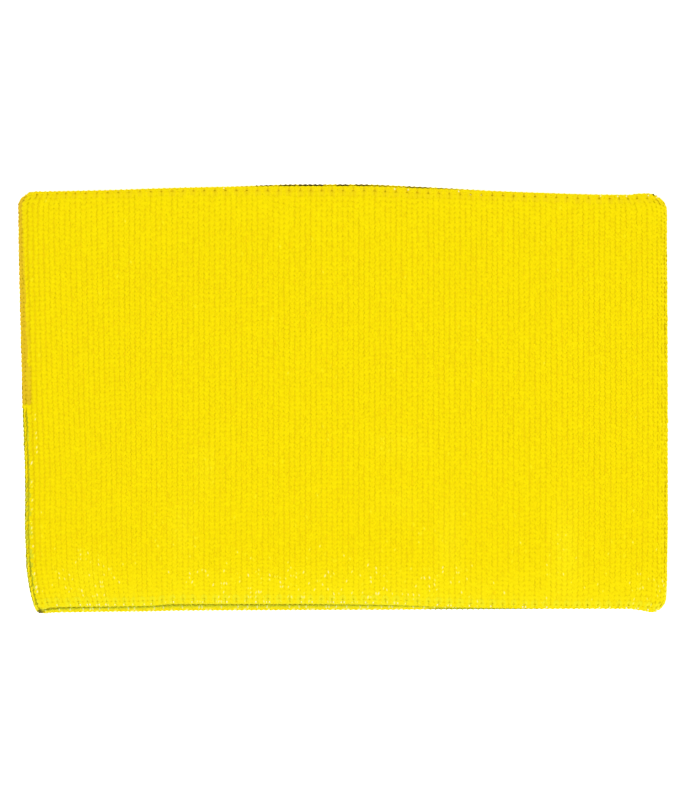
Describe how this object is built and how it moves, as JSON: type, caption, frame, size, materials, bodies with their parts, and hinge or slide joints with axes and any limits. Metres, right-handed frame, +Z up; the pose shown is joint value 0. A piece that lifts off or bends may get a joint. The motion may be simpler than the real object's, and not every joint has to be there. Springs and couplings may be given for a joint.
{
  "type": "knitted armband",
  "caption": "Plain elastic rib-knit armband, a seamless tube lying flat with a narrow overlocked edge round each open end.",
  "frame": {"origin": "middle of the underside, where the flattened tube rests", "axes": "+X across the flat width, +Y along the arm, +Z up from the surface it lies on"},
  "size_m": [0.1364, 0.0904, 0.0099],
  "materials": {
    "rib_knit": "matt rib knit of polyester and elastic yarn",
    "edge_thread": "overlocked with yarn of the same colour"
  },
  "bodies": {
    "root": {"knit_tube": "rib_knit", "upper_rolled_hem": "edge_thread", "lower_rolled_hem": "edge_thread"}
  },
  "joints": []
}
